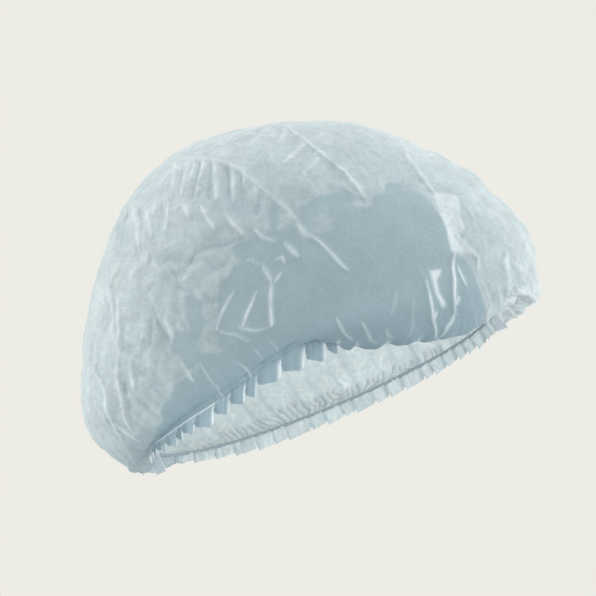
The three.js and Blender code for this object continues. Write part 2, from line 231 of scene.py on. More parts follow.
BROW_FOLDS = (  # ribs of the front overhang, then grooves and the hook of its hem
    (((330.6, 1.32), (334.1, 1.18), (339.7, 1.05), (348.8, 0.96), (354.4, 0.96)), 1.3, 2, 0.8),
    (((325.7, 1.09), (329.2, 0.92), (335.5, 0.71)), 1.1, 0.8, 0.75),
    (((325, 0.96), (329.9, 0.71)), 1, 0.7, 0.7),
    (((361.5, 0.5), (366.2, 0.58), (370, 0.78)), 1.3, 2, 0.95),
    (((364, 0.3), (366.9, 0.38), (374.5, 0.58), (381.5, 0.88)), 1.2, 2, 0.95),
    (((333.4, 1.95), (336.2, 1.77), (340.4, 1.68)), 1.7, 0.9, 0.5),
    (((341.1, 1.59), (346.7, 1.41), (351.6, 1.23)), 1.6, 0.9, 0.5),
    (((329.9, 1.11), (333.4, 0.98), (339, 0.82), (348.1, 0.7)), 1, -1.5, -0.9),
    (((348.1, 0.7), (355.8, 0.67), (362.1, 0.75), (364.8, 0.88)), 1, -1.5, -0.9),
    (((333.5, 1.44), (343, 1.22)), 1.2, -0.7, -0.7),
    (((362.1, 0.38), (371.1, 0.52), (376.6, 0.77)), 0.9, -1.5, -1),
    (((361.4, 0.12), (372.5, 0.33)), 1.3, -0.5, -0.8),
    (((319.5, 1.14), (316, 1), (317.5, 0.75), (319.5, 0.58)), 0.9, 0.6, 0.6),
)
# The cracks behind the ear are darkened with painted shade
EAR_CRACKS = (  # cracks behind the ear, then small folds there
    (((251, 4.1), (253, 4.2), (257, 4.2), (261, 4.1), (265, 4.05)), 1.2, -0.8, -1),
    (((239, 4.65), (247, 4.35), (251, 4.1)), 2, -0.6, -0.55),
    (((245, 4.1), (248, 3.9), (250.5, 4)), 0.9, -0.6, -0.8),
    (((246, 3.75), (248.5, 3.6), (250.5, 3.45)), 0.9, -0.6, -0.8),
    (((219.5, 5.5), (230, 5), (234, 4.75)), 1.3, -0.6, -0.5),
    (((226.4, 3.79), (232.6, 3.52)), 0.8, -0.5, -0.7),
    (((227.1, 3.29), (231.9, 3.16)), 0.8, -0.5, -0.8),
    (((239.2, 3.25), (240.5, 2.98), (241.2, 2.71)), 0.9, -0.6, -0.9),
    (((241.9, 3.29), (243.7, 3.07), (244, 2.76)), 0.7, -0.5, -0.6),
    (((230.3, 2.13), (231.1, 1.86), (231.1, 1.59)), 0.9, -0.6, -0.9),
    (((224, 1.95), (224.8, 1.68)), 0.9, -0.6, -0.8),
    (((223.2, 2.58), (221.6, 2.36)), 1.4, -0.6, -1),
    (((237.1, 3.79), (239.2, 3.47)), 0.8, -0.5, -0.7),
    (((238.1, 3.43), (237.1, 3.25), (235.7, 2.98)), 1.1, -0.6, -0.6),
    (((242, 3.3), (242.5, 2.8)), 1.5, 0.8, 0.3),
    (((234.2, 3.43), (235, 3.29), (234.2, 3.16)), 1.8, 0.8, 0.4),
    (((241.9, 2.18), (241.6, 1.95), (241.2, 1.59)), 0.9, 0.7, 0.5),
    (((239.5, 3.3), (242.5, 2.7)), 1.4, -0.7, -0.45),
    (((232, 4.5), (238, 4.7)), 1.8, 1, 0.4),
)
NAPE_FOLDS = (  # long soft folds, then hollows beside them
    (((216, 5.2), (221.5, 4.3), (222, 3.7), (226, 3.3)), 1.23, 1.2, 0.51),
    (((212, 3.4), (215, 2.8), (212, 2.3), (207, 1.6)), 1.23, 1.2, 0.58),
    (((224.5, 4.25), (225.5, 3.4)), 1.06, 0.9, 0.43),
    (((224, 3.15), (220.5, 2.45), (213.5, 1.6)), 1.14, 1, 0.51),
    (((228.5, 2.95), (226, 2.3)), 1.23, 1, 0.51),
    (((211, 2.1), (211, 1.2)), 1.06, 0.9, 0.58),
    (((220, 4.25), (223, 3.6)), 1.76, -0.8, -0.51),
    (((213.5, 3.3), (214, 2.6)), 2.11, -0.9, -0.51),
    (((209, 2.2), (204, 1.65)), 1.76, -0.8, -0.58),
    (((224, 2.6), (219, 2)), 1.76, -0.8, -0.58),
)
OUTLINE_SWELLS = (  # broad dips and swells at the brow and the nape
    (((341.5, 5.97), (342.8, 5.68), (347.9, 5.46)), 9, -1.4, 0),
    (((348.5, 4.94), (345.4, 4.57), (347.3, 4.23)), 9, 1.7, 0),
    (((349.8, 3.4), (349.8, 3.1)), 9, 1.4, 0),
    (((355.5, 2.4), (357.5, 1.73), (357.5, 1.36)), 9, 1.4, 0),
    (((189.4, 3.21), (184.7, 2.58), (183.7, 2.13)), 10, 1, 0),
)
LEFT_FOLDS = (  # broad folds on the wearer's left
    (((400, 5.2), (412, 2.2)), 3.4, 2, 0.3),
    (((455, 5), (442, 2.4)), 3.4, 1.8, 0.3),
    (((140, 4.6), (152, 2)), 3.4, 2, 0.3),
)
# Ribs, ridges and creases get painted highlights; grooves, hollows and cracks get painted shade
FOLDS = (
    *EAR_CREASES.values(), *SPINE_END.values(), *TEMPLE_CREASES.values(), *HEM_CREASES, *SPINE_RIBS,
    *LOWER_RIBS, *TOP_RIDGE, *BROW_FOLDS, *EAR_CRACKS, *NAPE_FOLDS, *OUTLINE_SWELLS, *LEFT_FOLDS,
)
FOLD_WANDER = {"size": 12, "seeds": (61, 62), "reach": 0.7}
FOLD_BREAKS = {"size": 5, "seed": 63, "band": (-0.5, 0.4), "kept": 0.55}
FOLD_ENDS = {"width": 0.4, "power": 0.6}  # share of the width that is left at the ends
FOLD_RELIEF_WIDTH = 1.5  # shares of the half width
FOLD_MARK_WIDTH = 0.87

# Ribs that fan out from the two welded ends: count in half a turn, share of the wander, depth
FAN_RIBS = ((11, 1, 1.6), (23, 2, 0.6))
FAN_WANDER = {"waves": 5, "reach": 0.35, "front": 0.4, "back": 2.1}
FAN_START = (0, 10)
FAN_END = (15, 70)

# Patches of the cloth, each in an outline of (angle, level) points: a taut share darkens with painted shade,
# a white share lightens with painted light
TAUT_SIDE = (
    (195, -0.8), (200, 0.3), (210, 0.7), (218, 1), (224.5, 1.3), (230, 1.55), (234.5, 1.7), (239, 1.8),
    (245, 1.85), (247.5, 2), (252, 1.95), (252, 2.4), (254.5, 2.7), (257, 3.05), (258.5, 3.25),
    (261.5, 3.25), (263, 3.6), (262, 3.9), (264.5, 4), (268, 3.95), (271, 4.05), (273.5, 4.33),
    (276, 4.53), (276, 4.33), (275, 4), (277, 4), (278.5, 3.86), (278.5, 3.6), (280, 3.6), (280, 3.9),
    (282, 4.2), (285.5, 4.33), (290, 4.3), (293.5, 4.26), (295, 4.1), (295.5, 3.83), (298, 3.88),
    (301.5, 4.06), (305, 4.15), (309, 4.1), (308, 3.9), (311, 3.8), (313.5, 3.6), (312.5, 3.3), (313, 3.1),
    (312, 2.66), (312, 2.38), (317, 2.2), (318.5, 1.8), (317, 1.4), (316, 1.1), (315, 0.9), (318, 0.6),
    (330, 0), (334, -0.8),
)
PATCHES = (  # name, taut share (below 0 takes it away), white share, outline
    ("taut_side", 1, 0, TAUT_SIDE),
    ("hollow_shade", 0.9, 0, ((249, 3.4), (251, 3.4), (251, 2.8), (249, 2.6), (248, 2.55), (248, 2.9))),
    ("hollow_shade", 0.9, 0, (
        (244, 2.85), (247, 2.7), (247, 2.4), (246, 2.05), (243.5, 2), (243, 2.25), (241, 2.6),
    )),
    ("back_corner_shade", 0.42, 0, (
        (222, 1.25), (216, 1.4), (210, 1.42), (203, 1.3), (196, 1.05), (189, 0.9), (180, 0.85), (168, 0.8),
        (160, 0.5), (160, -0.5), (195, -0.5), (200, 0.2), (210, 0.62), (218, 0.92),
    )),
    ("rib_shade", 0.45, 0, ((266, 4.8), (269.5, 4.75), (272, 4.6), (270.5, 4.45), (267, 4.6))),
    ("rib_shade", 0.4, 0, ((213.5, 6.4), (225, 5.95), (228, 5.35), (222.5, 5.45), (216.5, 5.85))),
    ("crumple", -0.5, 0, ((282, 4), (285, 3.95), (288, 3.75), (286, 3.5), (282, 3.5), (281, 3.7))),
    ("crumple", -0.4, 0, ((291.5, 4), (294.5, 3.92), (295, 3.78), (292, 3.78))),
    ("crumple", -0.4, 0, ((271, 4.35), (274, 4.35), (273.5, 4.05), (271, 4))),
    ("temple_panel", -0.4, 0.55, (
        (316, 3.7), (320, 3.66), (322, 3.54), (318, 3.2), (317.5, 2.9), (315, 2.73), (319.5, 2.1),
        (317, 2.2), (312, 2.38), (312, 2.66), (313.5, 3.1), (314, 3.36),
    )),
    ("brow_underside_light", 0, 0.35, ((324, 1), (345, 1.5), (380, 1.4), (390, 0), (345, -0.2), (328, 0.2))),
    ("temple_knot_highlight", 0, 0.85, (
        (304.5, 1.96), (307.5, 1.94), (305.2, 1.78), (304.2, 1.55), (304.5, 1.35), (302.8, 1.3),
        (303, 1.55), (304, 1.78),
    )),
)
PATCH_BLUR = 1.1
PATCH_RAGGED = ((14.0, 51, 2.0), (4.5, 51, 2.0))  # size, seed, reach
PATCH_RAGGED_LESS = 0.3  # share of that reach for a patch that adds no tautness
# Painted shade on the crinkled cloth round the taut side: its reach and its strength
TAUT_SHADE_REACH = 75.0  # how far from the taut side the crinkled cloth is still darker
TAUT_HALO_SHADE = 0.42
HEM_SHADE = 0.35  # how far the taut cloth is darker than its own colour along the hem

# Shares of each relief or tone that the taut cloth does not have
TAUT_CALMS = {
    "gathers": 0.75, "crumple": 0.9, "swells": 0.6, "crinkles": 0.85, "mottle": 0.75, "frill_mottle": 0.7,
}

# Wearer's left, seen inside: painted shade in the grooves between the pleats and in a ruffled band beside
# the elastic
FAR_GROOVE_SHADE = {"width": 0.7, "dark": 0.35, "uneven": 0.6}
RUFFLE_SIDE = (0.35, 0.6)  # sines of the angles between which the band comes in
RUFFLE_UNEVEN = 0.2
RUFFLE_SHADE = 0.1
RUFFLE_WIDTH = 2.1  # degrees between two of its small folds
RUFFLE_SHADE_DEPTH = 0.36
RUFFLE_WANDER = 3.0

# Crumpled spots: angle, level, reach in millimetres, strength
CRUMPLED_SPOTS = (
    (251, 3.4, 34.0, 1.0),
    (232, 2.6, 40.0, 0.6),
    (283, 3.9, 16.0, 1.0),
    (340, 1.6, 34.0, 0.6),
    (215, 3.0, 45.0, 0.5),
)
CRUMPLE_EVERYWHERE = 0.3
# Painted shade in the creases of the crumpled crinkles
CRACK_SHADE = {"band": (0.1, 0.45), "small": 0.7, "dark": 0.4}

# Layers of noise in the cloth: size, seed, strength
SWELLS = ((46.0, 21, 1.1), (24.0, 22, 0.5))
BROAD_MOTTLE = ((10.0, 71, 0.1),)
FRILL_MOTTLE = ((3.0, 33, 0.15), (6.0, 34, 0.15))
FINE_MOTTLE = {"size": 4.0, "seed": 72, "everywhere": 0.06, "crumpled": 0.14}
CRINKLES = {"broad": (20.0, 23), "coarse": (9.0, 24), "small": (4.5, 25)}  # size, seed
CRINKLE_HEIGHTS = {"broad": 0.8, "coarse": 1.0, "small": 0.6}

# Constants of the noise itself
HASH = {"step": 12.9898, "seed_step": 78.233, "stretch": 43758.5453}
LATTICE_STEPS = (1.0, 57.0, 113.0)
LATTICE_START = 31.7
CREASES = {"warp_size": 1.7, "warp_seeds": (11, 12, 13), "warp": 0.35, "steepness": 1.7, "top": 0.5}
FAR_AWAY = 1e9
ALMOST_NOTHING = 1e-9

# Camera and light
VIEW_AZIMUTH = math.radians(-83)
VIEW_ELEVATION = math.radians(-12)
VIEW_DISTANCE = 880.0
VIEW_AIM_RIGHT = -13.7
VIEW_AIM_UP = 45.0
CAMERA = {"lens": 100.0, "sensor_width": 36.0, "clip_start": 0.01}
FLOOR_HEIGHT = -0.34
FLOOR_REACH = 6.0
BACKDROP = (0.847, 0.838, 0.783)
LIGHTS = (  # name, right, up, toward camera in metres, size, power
    ("top_light", 0.0, 1.3, -0.1, 1.2, 8.0),
    ("left_light", -1.3, 0.05, -0.4, 0.9, 7.4),
    ("right_light", 1.3, 0.1, -0.2, 0.9, 11.0),
)
AMBIENT = {"Color": (0.9, 0.96, 1.0, 1.0), "Strength": 0.95}
INNER_LIGHT = {
    "place": (-0.03, 0.0, 0.01), "aim": (0.09, 0.0, 0.0), "size": 0.1, "power": 0.042, "spread": 130.0,
}

# Cloth colours: smooth taut cloth darkened with painted shade, crinkled cloth, and white painted light on
# sharp creases
CLOTH_COLOURS = {
    "taut_shade_colour": (0.43, 0.518, 0.55),
    "crinkled_colour": (0.635, 0.684, 0.68),
    "painted_light_colour": (0.95, 0.985, 0.99),
}
CLOTH_SHADER = {"Roughness": 0.62, "Specular IOR Level": 0.3, "Sheen Weight": 0.25, "Sheen Roughness": 0.4}
LIGHT_THROUGH_CLOTH = 0.35
CLOTH_BUMP = {"Strength": 0.35, "Distance": 0.0006}
CLOTH_NOISE = {  # scale, detail, roughness
    "fibre": (420.0, 4.0, 0.5),
    "cloud": (75.0, 3.0, 0.5),
    "rough": (210.0, 8.0, 0.75),
    "facet_warp": (60.0, 2.0, 0.5),
    "facet_sides": (95.0, 1.0, 0.5),
    "ruffle_wander": (70.0, 1.0, 0.5),
}
CLOTH_TONES = {"fibre": (0.16, 0.92), "cloud": (0.22, 0.89), "rough": (0.4, 0.8)}  # gain, tone at none
BONDED_POINTS = {"scale": 900.0, "randomness": 0.9}
# Facet lines give painted highlight and shade along the crease edges
FACETS = {
    "scale": 115.0, "randomness": 1.0, "warp": 0.013, "tone": 0.08, "line": 0.34, "line_width": 0.12,
}
MIX_SOCKETS = {"RGBA": (0, 6, 7, 2), "FLOAT": (0, 2, 3, 0)}  # places of factor, first, second and result

# Plain materials: colour, roughness, scale of the grain
# The elastic's dark colour is painted shade of the pinched line that it lies in
ELASTIC_SHADED_LOOK = ((0.27, 0.34, 0.37), 0.7, 2200.0)
WELD_LOOK = ((0.85, 0.88, 0.92), 0.55, 900.0)
FLOOR_LOOK = ((0.62, 0.64, 0.64), 0.8, 3.0)
PLAIN_GRAIN = {"dark": 0.82, "detail": 2.0, "roughness": 0.5}
PLAIN_BUMP = {"Strength": 0.3, "Distance": 0.0004}


def hashed(index, seed):
    """Repeatable numbers from -1 to 1 for whole numbers."""
    wave = np.sin(np.asarray(index, float) * HASH["step"] + seed * HASH["seed_step"]) * HASH["stretch"]
    return 2.0 * (wave - np.floor(wave)) - 1.0


def noise(points, size, seed):
    """Smooth noise from about -1 to 1 whose lumps are size across."""
    spot = points / size + LATTICE_START
    cell = np.floor(spot)
    share = spot - cell
    share = share * share * share * (share * (share * 6.0 - 15.0) + 10.0)
    total = np.zeros(points.shape[:-1])
    for corner in range(8):
        step = np.array([corner & 1, (corner >> 1) & 1, corner >> 2], float)
        weight = np.prod(np.where(step > 0, share, 1.0 - share), axis=-1)
        total += weight * hashed((cell + step) @ np.array(LATTICE_STEPS), seed)
    return total


def layered(points, layers):
    """Sum of layers of noise, each with a size, a seed and a strength."""
    return sum(strength * noise(points, size, seed) for size, seed, strength in layers)


def creased(points, size, seed):
    """Sharp ridges with soft hollows between them, from about -0.5 to 0.5."""
    warp_size = size * CREASES["warp_size"]
    warp = np.stack([noise(points, warp_size, seed + more) for more in CREASES["warp_seeds"]], -1)
    warped = points + warp * size * CREASES["warp"]
    return CREASES["top"] - np.abs(noise(warped, size, seed)) * CREASES["steepness"]


def smooth_share(value, low, high):
    share = np.clip((value - low) / (high - low), 0.0, 1.0)
    return share * share * (3.0 - 2.0 * share)


def rising(level, band):
    """Goes from 0 to 1 in a band of crown levels."""
    return smooth_share(level, *LEVEL_BANDS[band])


def fading(level, band):
    """Goes from 1 to 0 in a band of crown levels."""
    return 1.0 - rising(level, band)


def bell(away):
    return np.exp(-away * away)


def table_at(rows, at):
    keys, values = np.array(rows).T
    return np.interp(at, keys, values)


def degrees_of(angle):
    """Degrees in one run from FIRST_DEGREE on, which passes over the front."""
    degrees = np.degrees(angle) % 360.0
    return np.where(degrees < FIRST_DEGREE, degrees + 360.0, degrees)


def spot_of(angle, level):
    """Place of each spot on the cloth laid out flat, in millimetres."""
    return np.stack([degrees_of(angle) * DEGREE_LENGTH, level * LEVEL_LENGTH], -1)


def laid_out(path):
    """Corners of a path of (angle, level) points on the cloth laid out flat, in millimetres."""
    return np.array(path, float) * (DEGREE_LENGTH, LEVEL_LENGTH)


def section_rows():
    """Crown sections with one more at each end, for the smooth curve through them."""
    rows = np.array(CROWN_SECTIONS)
    before = 2.0 * rows[0] - rows[1]
    height, front, back, side, droop = rows[-2]
    after = np.array([height, -back, -front, -side, droop])
    return np.vstack([before, rows, after])


def sections_at(level):
    """Crown section at any level, on a smooth curve through the rows."""
    rows = section_rows()
    start = np.clip(np.floor(level).astype(int), 0, APEX_LEVEL - 1)
    t = (level - start)[..., None]
    a, b, c, d = (rows[start + k] for k in range(4))
    bend = 2 * a - 5 * b + 4 * c - d
    twist = 3 * b - a - 3 * c + d
    values = 0.5 * (2 * b + (c - a) * t + bend * t ** 2 + twist * t ** 3)
    return dict(zip(SECTION_COLUMNS, np.moveaxis(values, -1, 0)))


def rim_lift(angle):
    degrees = degrees_of(angle)
    return sum(rise * bell((degrees - middle) / spread) for _, middle, rise, spread in RIM_WAVES)


def smooth_crown(angle, level):
    """Points of the crown before any gather or fold."""
    section = sections_at(level)
    middle = (section["back"] - section["front"]) / 2
    reach = (section["back"] + section["front"]) / 2
    lift = rim_lift(angle) * fading(level, "rim_waves")
    x = section["side"] * np.sin(angle)
    y = middle - reach * np.cos(angle)
    z = section["height"] - section["droop"] * np.cos(angle) ** 2 + lift
    return np.stack([x, y, z], -1)


def outward_of(angle, level):
    """Direction straight out of the smooth crown."""
    step = 0.01
    round_cap = smooth_crown(angle + step, level) - smooth_crown(angle - step, level)
    up_cap = smooth_crown(angle, level + step) - smooth_crown(angle, np.maximum(level - step, 0.0))
    normal = np.cross(round_cap, up_cap)
    return normal / np.maximum(np.linalg.norm(normal, axis=-1, keepdims=True), ALMOST_NOTHING)


def sideways_of(angle):
    """Level direction away from the middle of the rim."""
    return np.stack([np.sin(angle), -np.cos(angle), np.zeros_like(angle)], -1)


def drawn(number, name):
    """A number from -1 to 1 for each pleat."""
    return hashed(number, PLEAT_SEEDS[name])


def pleats(angle):
    """Depth of the pleats from 0 to about -1, the number of each spot's pleat and its place across it."""
    order = np.arange(-1, PLEATS + 2)
    edges = (order + PLEAT_JITTER * drawn(order % PLEATS, "edges")) / PLEATS
    turn = (angle / (2 * math.pi)) % 1.0
    cell = np.searchsorted(edges, turn) - 1
    share = (turn - edges[cell]) / (edges[cell + 1] - edges[cell])
    number = (cell - 1) % PLEATS
    depth = 1.0 + PLEAT_UNEVEN["depth"] * drawn(number, "depth")
    profile = -smooth_share(share, 0.0, PLEAT_DIP) * (1.0 - share) ** PLEAT_RETURN * depth
    return profile, number, share


def fine_gathers(number, share):
    turns = FINE_GATHERS + np.round(drawn(number, "fine_gathers"))
    return -np.abs(np.sin(math.pi * share * turns + FINE_GATHER_SHIFT * drawn(number, "fine_shift")))


def from_pleat_edge(share):
    """Distance in millimetres from the nearest edge between two pleats."""
    return np.minimum(share, 1.0 - share) * 2 * math.pi * RIM["side"] / PLEATS


def from_run(spot, start, run):
    """Distance of each spot from a straight run, and its place along it from 0 to 1."""
    share = np.clip(((spot - start) @ run) / (run @ run), 0.0, 1.0)
    return np.linalg.norm(spot - start - share[..., None] * run, axis=-1), share


def along_path(spot, path):
    """Distance of each spot from a path of (angle, level) points, and its place along the path."""
    corners = laid_out(path)
    runs = corners[1:] - corners[:-1]
    lengths = np.linalg.norm(runs, axis=1)
    starts = np.concatenate([[0.0], np.cumsum(lengths)])
    nearest = np.full(spot.shape[:-1], FAR_AWAY)
    place = np.zeros(spot.shape[:-1])
    for corner, run, length, before in zip(corners, runs, lengths, starts):
        away, share = from_run(spot, corner, run)
        closer = away < nearest
        nearest = np.where(closer, away, nearest)
        place = np.where(closer, (before + share * length) / starts[-1], place)
    return nearest, place


def fold_relief(angle, level, base):
    """Rise of the listed folds, and the painted highlight and painted shade that they put on the cloth."""
    wander = np.stack([noise(base, FOLD_WANDER["size"], seed) for seed in FOLD_WANDER["seeds"]], -1)
    spot = spot_of(angle, level) + wander * FOLD_WANDER["reach"]
    whole = smooth_share(noise(base, FOLD_BREAKS["size"], FOLD_BREAKS["seed"]), *FOLD_BREAKS["band"])
    broken = FOLD_BREAKS["kept"] + (1.0 - FOLD_BREAKS["kept"]) * whole
    relief = np.zeros(angle.shape)
    painted_light = np.zeros(angle.shape)
    dark = np.zeros(angle.shape)
    for path, width, rise, light_and_shade_share in FOLDS:
        away, place = along_path(spot, path)
        middle = np.clip(np.sin(math.pi * place), 0.0, 1.0) ** FOLD_ENDS["power"]
        taper = width * (FOLD_ENDS["width"] + (1.0 - FOLD_ENDS["width"]) * middle)
        relief += rise * bell(away / (FOLD_RELIEF_WIDTH * taper))
        light_and_shade_mark = light_and_shade_share * bell(away / (FOLD_MARK_WIDTH * taper)) * broken
        painted_light = np.maximum(painted_light, light_and_shade_mark)
        dark = np.maximum(dark, -light_and_shade_mark)
    return relief, painted_light, dark


def fan_relief(angle, level):
    """Rise of the ribs that fan out from the nearer welded end."""
    from_end = np.arctan2(np.sin(2 * angle), np.cos(2 * angle)) / 2
    sideways = np.degrees(from_end) * DEGREE_LENGTH
    upward = level * LEVEL_LENGTH
    distance = np.hypot(sideways, upward)
    bearing = np.arctan2(upward, sideways)
    phase = np.where(np.cos(angle) > 0, FAN_WANDER["front"], FAN_WANDER["back"])
    wander = FAN_WANDER["reach"] * np.sin(FAN_WANDER["waves"] * bearing + phase)
    strength = smooth_share(distance, *FAN_START) * (1.0 - smooth_share(distance, *FAN_END))
    return strength * sum(
        depth * (0.5 - np.abs(np.sin(count * bearing + wandering * wander)))
        for count, wandering, depth in FAN_RIBS
    )


def inside_outline(spot, outline):
    """Distance of each spot inside an outline of (angle, level) points, below 0 outside it."""
    corners = laid_out(outline)
    nearest = np.full(spot.shape[:-1], FAR_AWAY)
    inside = np.zeros(spot.shape[:-1], bool)
    for start, end in zip(corners, np.roll(corners, -1, axis=0)):
        run = end - start
        nearest = np.minimum(nearest, from_run(spot, start, run)[0])
        spans = (start[1] > spot[..., 1]) != (end[1] > spot[..., 1])
        rise = run[1] if run[1] != 0.0 else 1.0
        crossing = start[0] + run[0] * (spot[..., 1] - start[1]) / rise
        inside ^= spans & (spot[..., 0] < crossing)
    return np.where(inside, nearest, -nearest)


def patch_shares(angle, level, base):
    """How taut each spot is, which also sets its painted shade, how near to the taut side, and how much
    painted light it gets, each from 0 to 1.
    """
    spot = spot_of(angle, level)
    ragged = layered(base, PATCH_RAGGED)
    taut_and_shaded = np.zeros(angle.shape)
    painted_light = np.zeros(angle.shape)
    for _, taut_and_shade_share, white_part, outline in PATCHES:
        depth = inside_outline(spot, outline)
        reach = ragged if taut_and_shade_share > 0.0 else PATCH_RAGGED_LESS * ragged
        share = smooth_share(depth + reach, -PATCH_BLUR, PATCH_BLUR)
        taut_and_shaded += taut_and_shade_share * share
        painted_light = np.maximum(painted_light, white_part * share)
    halo_shade = smooth_share(inside_outline(spot, TAUT_SIDE), -TAUT_SHADE_REACH, 0.0)
    return np.clip(taut_and_shaded, 0.0, 1.0), halo_shade, painted_light


def crumple_share(angle, level):
    """How crumpled each spot is, from 0 to 1."""
    spot = spot_of(angle, level)
    share = np.full(angle.shape, CRUMPLE_EVERYWHERE)
    for middle, height, reach, strength in CRUMPLED_SPOTS:
        away = np.linalg.norm(spot - laid_out((middle, height)), axis=-1)
        share = np.maximum(share, strength * bell(away / reach))
    return share


def outside_elastic(angle):
    """How far the cloth passes outside the elastic line, going over from one side's value to the other's."""
    left_share = np.clip(0.5 + CLOTH_SIDE_CHANGE * np.sin(angle), 0.0, 1.0)
    left, right = CLOTH_OUTSIDE_ELASTIC["left"], CLOTH_OUTSIDE_ELASTIC["right"]
    return right + (left - right) * left_share


def strand_highlight(degrees, away):
    """Painted highlight on the crease of the tight strand, away from the elastic line in millimetres."""
    start, full, ending, end = STRAND_HIGHLIGHT["angles"]
    shown = smooth_share(degrees, start, full) * (1.0 - smooth_share(degrees, ending, end))
    return STRAND_HIGHLIGHT["painted_light"] * shown * bell(away / STRAND_HIGHLIGHT["width"])


def hem_shift(angle, level, share):
    """How far the hem goes sideways and down, with its sag, its scallops and its tip at the back."""
    degrees = degrees_of(angle)
    raised = 1.0 - np.abs(np.sin(math.pi * share)) ** SCALLOP_POWER
    sagging = table_at(HEM_SAG, degrees) - table_at(HEM_SCALLOPS, degrees) * raised
    sag = sagging * (rising(level, "hem_sag") * fading(level, "hem_sag_end"))
    leaning = table_at(HEM_SPREAD, degrees) * fading(level, "hem_lean")
    tip = table_at(BACK_TIP["pull"], degrees) * bell((level - BACK_TIP["level"]) / BACK_TIP["reach"])
    sideways = outside_elastic(angle) * fading(level, "held") + leaning + HEM_SAG_SPREAD * sag + tip
    slipping = table_at(HEM_DROP, degrees) * fading(level, "hem_slip")
    return sideways, NECK_HEIGHT * fading(level, "neck") + (sag + slipping)


def far_side_shade(angle, level, number, share):
    """Painted shade in the grooves on the far side, and how ruffled its band beside the elastic is."""
    groove_shade = bell(from_pleat_edge(share) / FAR_GROOVE_SHADE["width"]) * fading(level, "far_grooves")
    strong = 0.5 + 0.5 * drawn(number, "groove_shade")
    groove_shade = groove_shade * (FAR_GROOVE_SHADE["dark"] + FAR_GROOVE_SHADE["uneven"] * strong)
    top = RUFFLE_UNEVEN * drawn(number, "ruffle")
    ruffled = smooth_share(np.sin(angle), *RUFFLE_SIDE) * fading(level - top, "ruffles")
    return np.where(np.sin(angle) > 0.0, groove_shade, 0.0), ruffled


def cloth_values(angle, crinkle_and_shade, painted_light, ruffled):
    """The values that the cloth's material reads at each spot."""
    turns = np.degrees(angle) / RUFFLE_WIDTH
    return {"crinkle_and_shade": crinkle_and_shade, "painted_light": painted_light, "ruffled": ruffled, "turns": turns}


def crown_cloth(angle, level):
    """Points of the crown with all its folds, and the values that colour each spot."""
    base = smooth_crown(angle, level)
    taut_and_shaded, halo_shade, pale_light = patch_shares(angle, level, base)
    profile, number, share = pleats(angle)
    folds, painted_light, dark = fold_relief(angle, level, base)
    crumple = crumple_share(angle, level) * (1.0 - TAUT_CALMS["crumple"] * taut_and_shaded)
    broad, coarse, small = (creased(base, *CRINKLES[name]) for name in ("broad", "coarse", "small"))

    # Shape: gathers at the hem, then folds, fans, swells and crinkles
    reach = 1.0 + PLEAT_UNEVEN["reach"] * drawn(number, "reach")
    smoothed = 1.0 - TAUT_CALMS["gathers"] * taut_and_shaded * rising(level, "taut_gathers")
    gather = profile * table_at(CROWN_GATHERS, level / reach) * smoothed
    fine = fine_gathers(number, share) * FINE_GATHER_DEPTH * fading(level, "fine_gathers")
    swell = layered(base, SWELLS) * (1.0 - TAUT_CALMS["swells"] * taut_and_shaded)
    crumpled = CRINKLE_HEIGHTS["coarse"] * coarse + CRINKLE_HEIGHTS["small"] * small
    crinkle = CRINKLE_HEIGHTS["broad"] * broad + crumple * crumpled
    surface = (swell - crinkle * (1.0 - TAUT_CALMS["crinkles"] * taut_and_shaded)) * fading(level, "apex")
    relief = gather + fine + rising(level, "loose") * (folds + fan_relief(angle, level) + surface)
    held = fading(level, "held")[..., None]
    sideways = sideways_of(angle)
    outward = outward_of(angle, level) * (1.0 - held) + sideways * held
    spread, down = hem_shift(angle, level, share)
    points = base + outward * relief[..., None] + sideways * spread[..., None]
    points[..., 2] -= down

    # Tones: painted shade in grooves, ruffles and cracks, and white painted highlights on creases, on the
    # strand and on scallop tips
    groove_shade, ruffled = far_side_shade(angle, level, number, share)
    crack_shade = smooth_share(coarse, *CRACK_SHADE["band"]) + CRACK_SHADE["small"] * smooth_share(small, *CRACK_SHADE["band"])
    for more in (groove_shade, RUFFLE_SHADE * ruffled, CRACK_SHADE["dark"] * crumple * crack_shade):
        dark = np.maximum(dark, more)
    degrees = degrees_of(angle)
    near_tip = bell(from_pleat_edge(share) / SCALLOP_TIP_HIGHLIGHT["width"]) * fading(level, "scallop_tips")
    tip_highlights = SCALLOP_TIP_HIGHLIGHT["painted_light"] * table_at(HEM_SCALLOPS, degrees) * near_tip
    for more in (pale_light, strand_highlight(degrees, level * LEVEL_LENGTH), tip_highlights):
        painted_light = np.maximum(painted_light, more)
    fine_share = FINE_MOTTLE["everywhere"] + FINE_MOTTLE["crumpled"] * crumple
    fine_mottle = noise(base, FINE_MOTTLE["size"], FINE_MOTTLE["seed"]) * fine_share
    mottle = (layered(base, BROAD_MOTTLE) + fine_mottle) * (1.0 - TAUT_CALMS["mottle"] * taut_and_shaded)
    # Painted shade: the taut side, the shade round it, the hem and the dark marks pull the colour toward the
    # taut colour
    crinkle_and_shade = (1.0 - taut_and_shaded) * (1.0 - TAUT_HALO_SHADE * halo_shade) + mottle
    shaded = HEM_SHADE * taut_and_shaded * fading(level, "hem_shade")
    crinkle_and_shade = np.clip(crinkle_and_shade * (1.0 - dark), 0.0, 1.0) - shaded
    return points, cloth_values(angle, crinkle_and_shade, np.clip(painted_light, 0.0, 1.0), ruffled)


